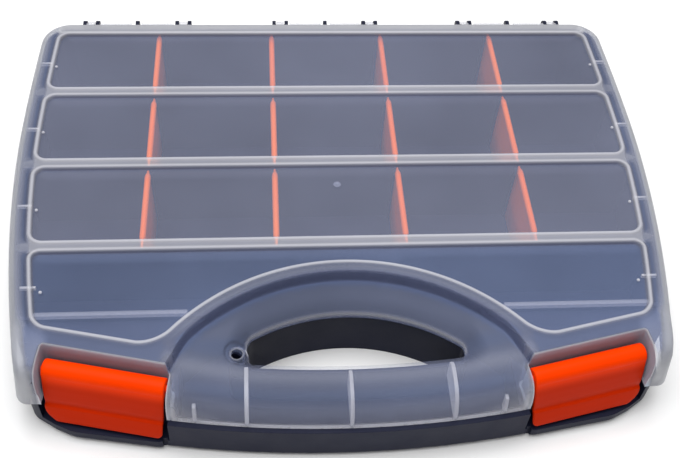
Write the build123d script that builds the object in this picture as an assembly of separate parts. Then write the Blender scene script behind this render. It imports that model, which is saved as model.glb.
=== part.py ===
from build123d import *
import os
from math import sin, cos, tan, radians, sqrt, pi

os.makedirs("parts", exist_ok=True)

# Small parts sorting box, closed, lying on its base.
# Millimetres. +Z up, +X right, the carry handle faces -Y, the hinges are at +Y.
# The origin is the middle of the underside, in the centre of the box in plan.

# ---------------------------------------------------------------- driving sizes
HALF_W = 195.0         # half of the greatest width, at y = SIDE_Y
SIDE_Y = 50.0          # where the bowed sides are widest
SIDE_R = 789.0         # bow of the sides, forward of SIDE_Y
BACK_Y = 146.8         # rear edge of the lid
BACK_X = 193.3         # half width at the rear corners
BACK_R = 18.0          # rear corner radius
LIP_Y = -153.2         # lid's lower front edge, middle of the handle
LIP_R = 590.0          # bow of that edge
BASE_LIP_Y = -155.85   # front of the base below it
BASE_LIP_R = 620.0
HANDLE_X = 97.3        # half width of the handle, between the latches
SLANT = 12.56          # the latches and the front corners slant back by this angle

Z_BEAD = 56.0          # raised lines round the windows
Z_TOP = 55.3           # lid's top face
Z_WIN = 53.3           # sunk windows
LID_T = 2.0            # lid wall
WIN_T = 1.8            # window thickness
Z_PART = 26.0          # lid's lower edge at the front and sides
Z_PART_BACK = 48.9     # lid's lower edge along the back, above the hinge axis
PART_Y0, PART_Y1 = 40.0, 118.0   # the lower edge climbs between these
PART_GAP = 0.3         # lid's lower edge to the base
TOP_R = 4.5            # rounding of the lid's top edge
WIN_INSET = 11.6       # outline to the middle of the raised line
BEAD_W = 2.3
WIN_R = 7.5
WIN_Y = ((80.2, 135.0), (17.1, 74.7), (-46.6, 11.6))   # three windows
WIN4_TOP = -52.1       # rear edge of the front window

FLOOR_T = 2.4
WALL_T = 2.0
LOW_INSET = 1.5        # base outside, below the lid's edge
UP_INSET = 2.7         # tray outside, inside the lid
IN_INSET = 4.7         # tray inside
Z_RIM = 51.1           # tops of the tray's walls
ROWS_Y = (77.45, 14.4, -49.35)        # middles of the fixed walls
FRONT_Y = -94.0        # front wall of the front compartment
SHELF_Z = 48.0         # ledge forward of that wall
BASE_FILLET = 4.0

ARCH_C = (0.0, -190.3)   # centre of the arch round the handle opening
ARCH_R = 126.3           # raised line
RISER_R = 119.0          # step from the lid's top down to the handle
RISER_Z = 48.6           # foot of that step
RAMP_R, RAMP_Z = 103.6, 37.5   # the slope below it ends at the opening
ARCH_WALL_R = 122.0      # base wall behind the step

PAD_Z_END = 46.8         # handle's top beside the latches
PAD_Z_MID = 43.6         # handle's top at the grip
GRIP_REAR_Y = -120.8     # rear of the grip
HOLE_X0, HOLE_X1 = -55.5, 65.0
HOLE_Z = 36.0            # lid's edge round the opening
HOLE_WALL_T = 2.2
HOLE_WALL_Z = 32.2       # top of the base's wall round the opening

RING_P = (-60.7, -116.0)  # small round hole at the left end of the opening
RING_R = 3.2
RING_OUT = 5.0

DIV_X = (-115.1, -38.0, 38.0, 115.1)
DIV_T = 1.6
DIV_LEN = 60.4
DIV_TOP = 51.2
DIV_BEAD_W = 3.8
DIV_BEAD_H = 3.0
SLOT = 2.0
SLOT_RIB = 1.4

HINGE_Y, HINGE_Z = 151.35, 47.0
ROD_R = 2.0
CLIP_BORE_R = 2.08
CLIP_R = 3.9
CLIP_W = 5.4
LUG_R = 4.5
LUG_W = 2.4
HINGE_X = (-130.9, 0.0, 130.9)
LUG_DX = (-35.9, -27.3, 0.0, 27.3, 35.9)
CLIP_DX = (-31.6, 31.6)

LATCH_O = (129.6, -128.55)   # middle of the right latch's axis, in plan
LATCH_Z = 42.9
LATCH_HALF = 32.9            # half length along the axis
ROLL_R = 5.5
STUB_R = 2.0
STUB_BORE_R = 2.08
RECESS_BACK = 7.3            # recess wall behind the axis
CHEEK_TILT = 8.0
CHEEK_IN = (96.6, -135.9)
CHEEK_OUT = (163.2, -121.2)


# ---------------------------------------------------------------- plan outlines
def side_x(y):
    if y >= SIDE_Y:
        dy = BACK_Y - BACK_R - SIDE_Y
        dx = HALF_W - BACK_X
        r = (dy * dy + dx * dx) / (2 * dx)
        return HALF_W - (r - sqrt(r * r - (y - SIDE_Y) ** 2))
    return HALF_W - (SIDE_R - sqrt(SIDE_R ** 2 - (y - SIDE_Y) ** 2))


def lip(x, y0, r):
    return y0 + r - sqrt(r * r - x * x)


def lid_outline():
    yb = BACK_Y - BACK_R
    k = BACK_R * (1 - cos(radians(45)))
    corner_y = -131.4
    corner_x = side_x(corner_y)
    end_y = lip(HANDLE_X, LIP_Y, LIP_R)
    slant_y = corner_y - (corner_x - HANDLE_X) * tan(radians(SLANT))
    edges = [
        ThreePointArc((-HANDLE_X, end_y), (0, LIP_Y), (HANDLE_X, end_y)),
        Line((HANDLE_X, end_y), (HANDLE_X, slant_y)) if abs(end_y - slant_y) > 0.05 else None,
        Line((HANDLE_X, slant_y), (corner_x, corner_y)),
        ThreePointArc((corner_x, corner_y), (side_x(-40), -40), (HALF_W, SIDE_Y)),
        ThreePointArc((HALF_W, SIDE_Y), (side_x(90), 90), (BACK_X, yb)),
        ThreePointArc((BACK_X, yb), (BACK_X - k, BACK_Y - k), (BACK_X - BACK_R, BACK_Y)),
        Line((BACK_X - BACK_R, BACK_Y), (-BACK_X + BACK_R, BACK_Y)),
        ThreePointArc((-BACK_X + BACK_R, BACK_Y), (-BACK_X + k, BACK_Y - k), (-BACK_X, yb)),
        ThreePointArc((-BACK_X, yb), (-side_x(90), 90), (-HALF_W, SIDE_Y)),
        ThreePointArc((-HALF_W, SIDE_Y), (-side_x(-40), -40), (-corner_x, corner_y)),
        Line((-corner_x, corner_y), (-HANDLE_X, slant_y)),
        Line((-HANDLE_X, slant_y), (-HANDLE_X, end_y)) if abs(end_y - slant_y) > 0.05 else None,
    ]
    face = make_face([e for e in edges if e is not None])
    sk = Sketch() + face
    tips = [v for v in sk.vertices() if abs(abs(v.X) - corner_x) < 0.01 and abs(v.Y - corner_y) < 0.01]
    return fillet(tips, 10.0)


def inset(sk, d):
    return offset(sk, -d, kind=Kind.INTERSECTION)


def disk(c, r):
    return Pos(c[0], c[1]) * Circle(r)


def band(y0, y1):
    return Pos(0, (y0 + y1) / 2) * Rectangle(500, y1 - y0)


def prism(sk, z0, z1):
    return extrude(Pos(0, 0, z0) * sk, amount=z1 - z0)


def grow(sk, d):
    return offset(sk, d, kind=Kind.ARC)


UX, UY = cos(radians(SLANT)), sin(radians(SLANT))    # along the right latch's axis
VX, VY = sin(radians(SLANT)), -cos(radians(SLANT))   # forward of it


def latch_uv(u, v):
    return (LATCH_O[0] + u * UX + v * VX, LATCH_O[1] + u * UY + v * VY)


def on_wall(p0, v, shift=0.0):
    # point of a tilted recess wall at distance v in front of the latch axis
    tx, ty = sin(radians(CHEEK_TILT)), -cos(radians(CHEEK_TILT))
    px, py = p0[0] + shift * cos(radians(CHEEK_TILT)), p0[1] + shift * sin(radians(CHEEK_TILT))
    v0 = (px - LATCH_O[0]) * VX + (py - LATCH_O[1]) * VY
    k = (v - v0) / (tx * VX + ty * VY)
    return (px + k * tx, py + k * ty)


def recess_plan(t, back=RECESS_BACK):
    a = on_wall(CHEEK_IN, -back - t, -t)
    b = on_wall(CHEEK_OUT, -back - t, t)
    c = on_wall(CHEEK_OUT, 60, t)
    d = on_wall(CHEEK_IN, 60, -t)
    f = Sketch() + make_face([Line(a, b), Line(b, c), Line(c, d), Line(d, a)])
    vs = [v for v in f.vertices() if (v.X - LATCH_O[0]) * VX + (v.Y - LATCH_O[1]) * VY < 0]
    if vs:
        f = fillet(vs, 3.0 + t)
    return f + mirror(f, about=Plane.YZ)


def pocket_plan():
    # the base's pocket behind a latch, roomier at the outer end
    a = on_wall(CHEEK_IN, POCKET_V, -0.6)
    b = on_wall(CHEEK_OUT, POCKET_V, 2.6)
    c = on_wall(CHEEK_OUT, 60, 2.6)
    d = on_wall(CHEEK_IN, 60, -0.6)
    f = Sketch() + make_face([Line(a, b), Line(b, c), Line(c, d), Line(d, a)])
    vs = [v for v in f.vertices() if (v.X - LATCH_O[0]) * VX + (v.Y - LATCH_O[1]) * VY < 10]
    f = fillet(vs, 2.0)
    return f + mirror(f, about=Plane.YZ)


def ahead_of_latch(v):
    # everything forward of a line parallel to each latch axis
    p = [latch_uv(-200, v), latch_uv(120, v), latch_uv(120, v + 120), latch_uv(-200, v + 120)]
    f = Sketch() + make_face([Line(p[i], p[(i + 1) % 4]) for i in range(4)])
    f = f & (Pos(250, 0) * Rectangle(500, 1000))
    return f + mirror(f, about=Plane.YZ)


OUT = lid_outline()
HOLE = disk(ARCH_C, RAMP_R) & disk((0, GRIP_REAR_Y + 558.0), 558.0) & (Pos((HOLE_X0 + HOLE_X1) / 2, -110) * Rectangle(HOLE_X1 - HOLE_X0, 60))
HOLE = fillet([v for v in HOLE.vertices() if v.X < 0], 7.0)
HOLE = fillet([v for v in HOLE.vertices() if v.X > HOLE_X1 - 0.5], 3.2)


def window_plans():
    inner = inset(OUT, WIN_INSET)
    ws = []
    for i, (y0, y1) in enumerate(WIN_Y):
        # the rear window ends at the inset outline itself
        f = inner & band(y0, 300 if i == 0 else y1)
        ws.append(f)
    # the front window also keeps clear of the arch and of the slanting recesses
    f = inner & band(-170, WIN4_TOP)
    f = f - disk(ARCH_C, ARCH_R)
    f = f - ahead_of_latch(-17.0)
    ws.append(f)
    out = []
    for f in ws:
        for part in f.faces():
            if part.area > 300:
                s = Sketch() + part
                sharp = []
                for v in s.vertices():
                    if v.Y < 110:
                        sharp.append(v)
                done = s
                for v in sharp:
                    try:
                        cand = [w for w in done.vertices() if abs(w.X - v.X) < 1e-3 and abs(w.Y - v.Y) < 1e-3]
                        if cand:
                            done = fillet(cand, WIN_R)
                    except Exception:
                        pass
                out.append(done)
    return out


# ---------------------------------------------------------------- the lid
def side_cutter(z_low, z_back):
    # everything below the lid's lower edge, which climbs towards the back
    pts = [(-400, -50), (-400, z_low), (PART_Y0, z_low), (PART_Y1, z_back), (400, z_back), (400, -50)]
    f = make_face([Line(pts[i], pts[(i + 1) % 6]) for i in range(6)])
    # drawn in (y, z)
    sk = Plane(origin=(-300, 0, 0), x_dir=(0, 1, 0), z_dir=(1, 0, 0)) * (Sketch() + f)
    return extrude(sk, amount=600)


def nose(t):
    # what the rounded fronts of the two corners leave off: above a full, squarish quarter oval
    a, b = 26.5 - t, Z_TOP - Z_PART - t + 0.5
    front = 12.3             # corner line, forward of the latch axis
    n, e = 22, 2 / 3.6
    pts = [(front - 26.5 + a * abs(cos(pi / 2 * i / n)) ** e, Z_PART + b * sin(pi / 2 * i / n) ** e) for i in range(n)]
    pts += [(front - 26.5, Z_PART + b)]
    pl = Plane(origin=(LATCH_O[0] + 140 * UX, LATCH_O[1] + 140 * UY, 0), x_dir=(VX, VY, 0), z_dir=(-UX, -UY, 0))
    e = [Line(pts[i], pts[i + 1]) for i in range(n)] + [Line(pts[-1], (pts[-1][0], 120)), Line((pts[-1][0], 120), (120, 120)), Line((120, 120), (120, -60)), Line((120, -60), (pts[0][0], -60)), Line((pts[0][0], -60), pts[0])]
    s = extrude(pl * (Sketch() + make_face(e)), amount=175)
    return s + mirror(s, about=Plane.YZ)


def cylinder_at(c, r, z0, z1):
    return prism(disk(c, r), z0, z1)


def ramp(t):
    # slope between the step and the handle opening
    k = (RISER_Z - RAMP_Z) / (RISER_R - RAMP_R)
    d = t * sqrt(1 + k * k)      # drop of the surface for a wall of t
    r0, r1 = 60.0, RISER_R + t + 0.01
    z1 = RISER_Z - d + k * (t + 0.01)
    z0 = RAMP_Z - d + k * (r0 - RAMP_R)
    pts = [(r0, -20), (r1, -20), (r1, z1), (r0, max(z0, -10))]
    f = Sketch() + make_face([Line(pts[i], pts[(i + 1) % 4]) for i in range(4)])
    pl = Plane(origin=(ARCH_C[0], ARCH_C[1], 0), x_dir=(1, 0, 0), z_dir=(0, -1, 0))
    return revolve(pl * f, axis=Axis((ARCH_C[0], ARCH_C[1], 0), (0, 0, 1)), revolution_arc=360)


def pad(t):
    # rounded grip and its two ends
    pts = [(-140, -20), (-140, PAD_Z_END - t), (-HANDLE_X, PAD_Z_END - t), (-50, PAD_Z_MID - t), (50, PAD_Z_MID - t), (HANDLE_X, PAD_Z_END - t), (140, PAD_Z_END - t), (140, -20)]
    n = len(pts)
    f = Sketch() + make_face([Line(pts[i], pts[(i + 1) % n]) for i in range(n)])
    slab = extrude(Plane(origin=(0, -60, 0), x_dir=(1, 0, 0), z_dir=(0, -1, 0)) * f, amount=110)
    a, b = 15.0 - t, 21.4 - t
    r_lip = LIP_R
    cy = LIP_Y + LIP_R
    n = 12
    q = [(r_lip - 15.0 + a * cos(pi / 2 * i / n), Z_PART + b * sin(pi / 2 * i / n)) for i in range(n + 1)]
    e = [Spline(q), Line(q[-1], (300, q[-1][1])), Line((300, q[-1][1]), (300, -60)), Line((300, -60), (q[0][0], -60)), Line((q[0][0], -60), q[0])]
    prof = Sketch() + make_face(e)
    pl = Plane(origin=(0, cy, 0), x_dir=(0, 1, 0), z_dir=(1, 0, 0))
    swept = revolve(pl * prof, axis=Axis((0, cy, 0), (0, 0, 1)), revolution_arc=360)
    return slab & swept


def funnel(t):
    # bevel all round the opening
    d = t * sqrt(2)
    lo = Pos(0, 0, HOLE_Z - d) * HOLE
    hi = Pos(0, 0, HOLE_Z - d + 24) * grow(HOLE, 24)
    return loft([lo.faces()[0], hi.faces()[0]], ruled=True)


def lid_mass(t, wins):
    z0 = 10.0 if t == 0 else 0.0
    plan = OUT if t == 0 else inset(OUT, t)
    m = prism(plan, z0, Z_TOP - t)
    top = m.edges().filter_by(lambda e: abs(e.center().Z - (Z_TOP - t)) < 1e-3)
    m = fillet(top, TOP_R - t)
    m = m - nose(t)
    m = m - cylinder_at(ARCH_C, RISER_R + t, -30, 100)
    zone = disk(ARCH_C, RISER_R + t + 0.01) & (Pos(0, -110) * Rectangle(2 * 104, 120)) & plan
    h = ramp(t) + pad(t)
    h = h & prism(zone, z0, 90)
    h = h - funnel(t)
    m = m + h
    m = m - prism(recess_plan(t), -30, 100)
    for w in wins:
        if t == 0:
            m = m - prism(w, Z_WIN, 90)
        else:
            m = m - prism(grow(w, t - 0.2), Z_WIN - WIN_T, 90)
    return m


def hinge_clip(x):
    ring = Plane(origin=(x - CLIP_W / 2, HINGE_Y, HINGE_Z), x_dir=(0, 1, 0), z_dir=(1, 0, 0))
    c = extrude(ring * Circle(CLIP_R), amount=CLIP_W)
    arm = Pos(x, (BACK_Y - 1.0 + HINGE_Y) / 2, (Z_PART_BACK + 50.9) / 2) * Box(CLIP_W, HINGE_Y - BACK_Y + 1.0, 50.9 - Z_PART_BACK)
    web = Pos(x, BACK_Y + 0.8, (Z_PART_BACK + 53.0) / 2) * Box(CLIP_W, 3.2, 53.0 - Z_PART_BACK)
    c = c + arm + web
    c = c - extrude(ring * Circle(CLIP_BORE_R), amount=CLIP_W)
    # mouth of the clip, towards the rear and below
    mouth = Sketch() + make_face([Line((0, 0), (9, 1.5)), Line((9, 1.5), (9, -9)), Line((9, -9), (-2.2, -9)), Line((-2.2, -9), (0, 0))])
    return c - extrude(ring * mouth, amount=CLIP_W)


def stub_bores(z0=0):
    s = None
    for u0, u1 in ((-40.0, -30.0), (31.0, 41.0)):
        p = latch_uv(u0, 0)
        pl = Plane(origin=(p[0], p[1], LATCH_Z), x_dir=(VX, VY, 0), z_dir=(UX, UY, 0))
        c = extrude(pl * Circle(STUB_BORE_R), amount=u1 - u0)
        s = c if s is None else s + c
    return s + mirror(s, about=Plane.YZ)


def make_lid():
    wins = window_plans()
    shell = lid_mass(0, wins) - lid_mass(LID_T, wins)
    shell = shell - side_cutter(Z_PART, Z_PART_BACK)
    shell = shell - prism(HOLE, 10, 90)
    # raised lines
    for w in wins:
        ring = grow(w, BEAD_W / 2) - grow(w, -BEAD_W / 2)
        shell = shell + prism(ring, Z_WIN - 0.5, Z_BEAD)
    # boss of the small round hole
    boss = cylinder_at(RING_P, RING_OUT, RING_LOW, PAD_Z_MID + 0.6)
    shell = shell + (boss - funnel(0) - prism(HOLE, 0, 90))
    shell = shell - cylinder_at(RING_P, RING_R, 0, 90)
    # stiffening ribs inside the grip
    inner = pad(LID_T - 0.2) & prism(inset(OUT, LID_T - 0.2), 0, 90)
    for x in (-55.7, 0.0, 55.7):
        rib = Pos(x, -137.0, 36.0) * Box(1.5, 26.6, 19.4)
        shell = shell + (rib & inner)
    for x in (-83.2, 83.2):
        rib = Pos(x, -146.6, 32.0) * Box(1.2, 7.0, 8.0)
        shell = shell + (rib & inner)
    # hinge side
    for xc in HINGE_X:
        for dx in CLIP_DX:
            shell = shell + hinge_clip(xc + dx)
        for s in (-1, 1):
            shell = shell + Pos(xc + s * 14.2, BACK_Y + 0.5, 52.2) * Box(22.0, 3.0, 4.6)
    return shell - stub_bores()


# ---------------------------------------------------------------- the base
def base_outline():
    i = LOW_INSET
    yb = BACK_Y - BACK_R
    k = (BACK_R - i) * cos(radians(45))
    e = lip(98.4, BASE_LIP_Y, BASE_LIP_R)
    cy = -127.6
    pts = [(98.4, e), (104.0, -148.9), (150.0, -141.0), (160.0, -136.2), (side_x(cy) - i, cy)]
    right = [Line(pts[j], pts[j + 1]) for j in range(4)]
    right += [
        ThreePointArc(pts[4], (side_x(-40) - i, -40), (HALF_W - i, SIDE_Y)),
        ThreePointArc((HALF_W - i, SIDE_Y), (side_x(90) - i, 90), (BACK_X - i, yb)),
        ThreePointArc((BACK_X - i, yb), (BACK_X - BACK_R + k, yb + k), (BACK_X - BACK_R, BACK_Y - i)),
        Line((BACK_X - BACK_R, BACK_Y - i), (0, BACK_Y - i)),
    ]
    left = [mirror(g, about=Plane.YZ) for g in right]
    s = Sketch() + make_face([ThreePointArc((-98.4, e), (0, BASE_LIP_Y), (98.4, e))] + right + left)
    for x, y, r in ((104.0, -148.9, 6.0), (150.0, -141.0, 20.0), (160.0, -136.2, 12.0), (pts[4][0], cy, 10.0)):
        vs = [v for v in s.vertices() if abs(abs(v.X) - x) < 0.05 and abs(v.Y - y) < 0.05]
        try:
            s = fillet(vs, r)
        except Exception:
            print("corner kept sharp", x, y)
    return s


def make_base():
    plan = base_outline()
    low = prism(plan, 0, 60)
    for r in (BASE_FILLET, 3.0, 2.0, 1.2):
        try:
            bottom = low.edges().filter_by(lambda e: abs(e.center().Z) < 1e-3)
            low = fillet(bottom, r)
            print("base fillet", r)
            break
        except Exception as err:
            print("base fillet failed:", r)
    keep = side_cutter(Z_PART - PART_GAP, Z_PART_BACK - PART_GAP)
    low = low & keep
    up_plan = inset(OUT, UP_INSET) - disk(ARCH_C, ARCH_WALL_R) - ahead_of_latch(-10.1)
    up = prism(up_plan, 10, Z_RIM)
    up = up - prism(up_plan & band(-300, FRONT_Y - WALL_T), SHELF_Z, 90)
    b = low + up
    inner = inset(OUT, IN_INSET)
    # rows and the front compartment
    edges = [BACK_Y - IN_INSET] + list(ROWS_Y)
    for i in range(3):
        y1 = edges[i] - (WALL_T / 2 if i else 0)
        y0 = edges[i + 1] + WALL_T / 2
        p = inner & band(y0, y1 + (10 if i == 0 else 0))
        b = b - prism(p, FLOOR_T, 90)
    front = (inner & band(FRONT_Y, ROWS_Y[2] - WALL_T / 2)) - disk(ARCH_C, ARCH_WALL_R + WALL_T)
    b = b - prism(front, FLOOR_T, 90)
    # hollow handle, open towards the lid
    hole_wall = grow(HOLE, HOLE_WALL_T)
    hz = disk(ARCH_C, ARCH_WALL_R) & (Pos(0, -110) * Rectangle(2 * 92.5, 120)) & (plan - ahead_of_lip(4.6))
    hz = hz - hole_wall - disk(RING_P, RING_OUT)
    b = b - prism(hz, FLOOR_T, 90)
    # wall round the opening and the tube of the small hole
    b = b + prism(hole_wall, 0, HOLE_WALL_Z) + cylinder_at(RING_P, RING_OUT, 0, Z_PART - PART_GAP)
    # the tube reaches up to the underside of the lid
    b = b + (cylinder_at(RING_P, TUBE_R, 10, RING_LOW - 0.4) - funnel(LID_T + 0.4))
    b = b - prism(HOLE, -10, 90) - cylinder_at(RING_P, RING_R, -10, 90)
    # latch pockets in the front face, with a ledge below
    b = b - prism(pocket_plan(), LEDGE_Z, Z_PART + 20)
    # hollows under the ledge forward of the front compartment, open below
    hol = (inner & band(-300, FRONT_Y - WALL_T)) - disk(ARCH_C, ARCH_WALL_R + WALL_T)
    up_h = hol - ahead_of_latch(-12.1)
    b = b - prism(up_h, -10, SHELF_Z - 2.0)
    lo_h = hol - ahead_of_latch(2.3)
    lo_h = lo_h - (Pos(0, -130) * Rectangle(2 * 101.0, 60))
    b = b - prism(lo_h, -10, Z_PART - PART_GAP - 2.0)
    # grooves between the handle and the ledges
    for s in (-1, 1):
        b = b - Pos(s * 100.2, -151.0, 10) * Box(2.6, 9.0, 60)
    # slots for the dividers
    for i in range(3):
        y1 = (edges[i] - (WALL_T / 2 if i else 0))
        y0 = edges[i + 1] + WALL_T / 2
        depth = (y1 - y0 - DIV_LEN) / 2 + 1.6
        for x in DIV_X:
            for s in (-1, 1):
                xr = x + s * (SLOT / 2 + SLOT_RIB / 2)
                for ya, yb in ((y0 - 0.3, y0 + depth), (y1 - depth, y1 + 0.3)):
                    b = b + Pos(xr, (ya + yb) / 2, (FLOOR_T - 0.2 + 47.6) / 2) * Box(SLOT_RIB, yb - ya, 47.6 - FLOOR_T + 0.2)
    # catch beads for the latches
    for s in (1, -1):
        p = latch_uv(0, 0)
        pl = Plane(origin=(latch_uv(-22, POCKET_V)[0], latch_uv(-22, POCKET_V)[1], LATCH_Z - 22.6), x_dir=(VX, VY, 0), z_dir=(UX, UY, 0))
        bead = extrude(pl * Circle(2.2), amount=44)
        b = b + (bead if s == 1 else mirror(bead, about=Plane.YZ))
    # hinge lugs and their rods
    for xc in HINGE_X:
        for dx in LUG_DX:
            b = b + lug(xc + dx)
        for dx in CLIP_DX:
            pl = Plane(origin=(xc + dx - 4.3, HINGE_Y, HINGE_Z), x_dir=(0, 1, 0), z_dir=(1, 0, 0))
            b = b + extrude(pl * Circle(ROD_R), amount=8.6)
    return b


LEDGE_Z = 8.8
POCKET_V = 3.6           # how far the pocket's back wall lies forward of the latch axis
RING_LOW = 41.2
TUBE_R = 4.6


def ahead_of_lip(d):
    # everything forward of the handle's front edge, moved back by d
    big = Pos(0, -140) * Rectangle(400, 100)
    return big - disk((0, BASE_LIP_Y + BASE_LIP_R), BASE_LIP_R - d)


def lug(x):
    pts = [(145.0, 36.0), (147.0, 36.0), (HINGE_Y + 3.4, HINGE_Z - 3.0), (HINGE_Y, HINGE_Z + 0.0), (145.0, HINGE_Z - 0.2)]
    n = len(pts)
    pl = Plane(origin=(x - LUG_W / 2, 0, 0), x_dir=(0, 1, 0), z_dir=(1, 0, 0))
    f = (Sketch() + make_face([Line(pts[i], pts[(i + 1) % n]) for i in range(n)])) + (Pos(HINGE_Y, HINGE_Z) * Circle(LUG_R))
    return extrude(pl * f, amount=LUG_W)


# ---------------------------------------------------------------- latches
def make_latch():
    # profile: first number forward of the axis, second up from it
    prof = [(5.3, 0.6), (6.4, -4.0), (7.5, -8.0), (8.5, -13.0), (9.0, -17.0), (9.15, -19.3), (9.5, -19.9), (10.4, -20.3), (11.2, -22.5), (12.6, -27.0), (13.5, -31.2), (12.9, -31.7), (11.5, -31.7),
            (10.4, -27.0), (9.3, -23.9), (8.2, -21.9), (7.0, -20.6), (6.7, -17.0), (6.2, -13.0), (5.2, -8.6), (3.6, -4.6), (2.0, -3.0), (2.0, 0.6)]
    n = len(prof)
    f = (Sketch() + make_face([Line(prof[i], prof[(i + 1) % n]) for i in range(n)])) + Circle(ROLL_R)
    hook = Sketch() + make_face([Line((9.0, -24.6), (11.6, -25.4)), Line((11.6, -25.4), (11.6, -27.6)), Line((11.6, -27.6), (8.2, -27.0)), Line((8.2, -27.0), (8.0, -25.6)), Line((8.0, -25.6), (9.0, -24.6))])
    pl = Plane(origin=(LATCH_HALF, 0, 0), x_dir=(0, -1, 0), z_dir=(-1, 0, 0))
    body = extrude(pl * f, amount=2 * LATCH_HALF)
    rear = Plane(origin=(20, 0, 0), x_dir=(0, -1, 0), z_dir=(-1, 0, 0))
    body = body + extrude(rear * hook, amount=40)
    # outline seen from the front: rounded inner corner, outer corner cut off
    h = LATCH_HALF
    o = [(-h, 8), (h, 8), (h, -25.0), (h - 7.0, -32.5), (-h + 1.2, -32.5), (-h, -6.0)]
    n = len(o)
    fo = Sketch() + make_face([Line(o[i], o[(i + 1) % n]) for i in range(n)])
    vs = [v for v in fo.vertices() if v.Y < -20 and v.X < 0]
    fo = fillet(vs, 4.0)
    vs = [v for v in fo.vertices() if v.Y < -20 and v.X > 0 and abs(v.X - h) < 7]
    fo = fillet(vs, 3.0)
    cut = extrude(Plane(origin=(0, 20, 0), x_dir=(1, 0, 0), z_dir=(0, -1, 0)) * fo, amount=50)
    body = body & cut
    stub = Plane(origin=(-LATCH_HALF - 2.6, 0, 0), x_dir=(0, 1, 0), z_dir=(1, 0, 0))
    body = body + extrude(stub * Circle(STUB_R), amount=2 * LATCH_HALF + 2.6 + 3.2)
    return Pos(LATCH_O[0], LATCH_O[1], LATCH_Z) * Rot(0, 0, SLANT) * body


# ---------------------------------------------------------------- dividers
def make_divider(x, ymid):
    plate = Pos(x, ymid, (FLOOR_T + DIV_TOP - 1.2) / 2) * Box(DIV_T, DIV_LEN, DIV_TOP - 1.2 - FLOOR_T)
    y0, y1 = ymid - DIV_LEN / 2 + 5.6, ymid + DIV_LEN / 2 - 3.2
    w = DIV_BEAD_W / 2
    # rounded top edge, thinned towards both ends
    sec = Sketch() + make_face([
        Line((-w, 0), (-w, 0.7)), ThreePointArc((-w, 0.7), (0, DIV_BEAD_H), (w, 0.7)),
        Line((w, 0.7), (w, 0)), ThreePointArc((w, 0), (0, -0.9), (-w, 0))])
    z = DIV_TOP - DIV_BEAD_H
    bar = extrude(Plane(origin=(x, y1, z), x_dir=(1, 0, 0), z_dir=(0, -1, 0)) * sec, amount=y1 - y0)
    k = 4.0
    pts = [(x - DIV_T / 2, y0), (x - w, y0 + k), (x - w, y1 - k), (x - DIV_T / 2, y1), (x + DIV_T / 2, y1), (x + w, y1 - k), (x + w, y0 + k), (x + DIV_T / 2, y0)]
    f = Sketch() + make_face([Line(pts[i], pts[(i + 1) % 8]) for i in range(8)])
    bar = bar & prism(f, 40, 60)
    return plate + bar


def save(name, shape):
    sol = shape.solids()
    print(name, "solids", len(sol), "volume", round(sum(s.volume for s in sol) / 1000, 1), "cm3")
    if len(sol) > 1:
        sol = sorted(sol, key=lambda s: -s.volume)
        print("   volumes", [round(s.volume, 1) for s in sol])
        out = sol[0]
    else:
        out = sol[0]
    out.label = name
    export_step(out, "parts/" + name + ".step")
    return out


if __name__ == "__main__":
    base = save("base_tray", make_base())
    lid = save("lid", make_lid())
    latch = make_latch()
    save("latch_right", latch)
    save("latch_left", mirror(latch, about=Plane.YZ))
    walls = [BACK_Y - IN_INSET] + list(ROWS_Y)
    for r in range(3):
        top = walls[r] - (WALL_T / 2 if r else 0)
        low = walls[r + 1] + WALL_T / 2
        for c, x in enumerate(DIV_X):
            save("divider_r%d_c%d" % (r + 1, c + 1), make_divider(x, (top + low) / 2))
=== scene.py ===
import math
import bpy
import bmesh
import numpy as np
from mathutils import Matrix, Vector
from mathutils.geometry import delaunay_2d_cdt
from mathutils.kdtree import KDTree


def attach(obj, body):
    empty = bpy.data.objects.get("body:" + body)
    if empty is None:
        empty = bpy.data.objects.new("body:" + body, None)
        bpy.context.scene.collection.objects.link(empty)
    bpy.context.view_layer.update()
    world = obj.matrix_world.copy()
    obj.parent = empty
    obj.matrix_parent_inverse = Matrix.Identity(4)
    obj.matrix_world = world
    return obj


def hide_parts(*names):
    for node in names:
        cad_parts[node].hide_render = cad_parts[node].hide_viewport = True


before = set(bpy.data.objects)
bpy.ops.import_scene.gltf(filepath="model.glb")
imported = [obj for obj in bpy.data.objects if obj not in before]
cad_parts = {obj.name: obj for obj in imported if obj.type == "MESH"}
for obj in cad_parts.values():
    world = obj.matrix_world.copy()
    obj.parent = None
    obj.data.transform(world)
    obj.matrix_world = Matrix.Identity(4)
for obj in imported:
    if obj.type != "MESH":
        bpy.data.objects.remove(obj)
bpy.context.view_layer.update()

MM = 0.001

# ------------------------------------------------------------------ sizes, mm
HALF_W, SIDE_Y, SIDE_R = 195.0, 50.0, 789.0
BACK_Y, BACK_X, BACK_R = 146.8, 193.3, 18.0
REAR_R = ((BACK_Y - BACK_R - SIDE_Y) ** 2 + (HALF_W - BACK_X) ** 2) / (2 * (HALF_W - BACK_X))
LIP_Y, LIP_R, HANDLE_X = -153.2, 590.0, 97.3
Z_TOP, Z_BEAD, Z_WIN = 55.3, 56.0, 53.3
Z_LOW, Z_LOW_BACK, LOW_Y0, LOW_Y1 = 26.0, 48.9, 40.0, 118.0
TOP_R, WALL = 4.5, 2.0
WIN_INSET = 11.6
ARCH = (0.0, -190.3)
ARCH_R, RISER_R, HOLE_R = 126.3, 119.0, 103.6
GRIP_Y, GRIP_R = -120.8, 558.0
HOLE_X0, HOLE_X1, HOLE_Z = -55.5, 65.0, 36.0
RING, RING_R, RING_OUT = (-60.7, -116.0), 3.2, 5.0
LATCH = (129.6, -128.55)
LATCH_Z, LATCH_HALF, ROLL_R = 42.9, 32.9, 5.5
SLANT = math.radians(12.56)
UX, UY = math.cos(SLANT), math.sin(SLANT)
VX, VY = math.sin(SLANT), -math.cos(SLANT)
V_FRONT = 12.33
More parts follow.
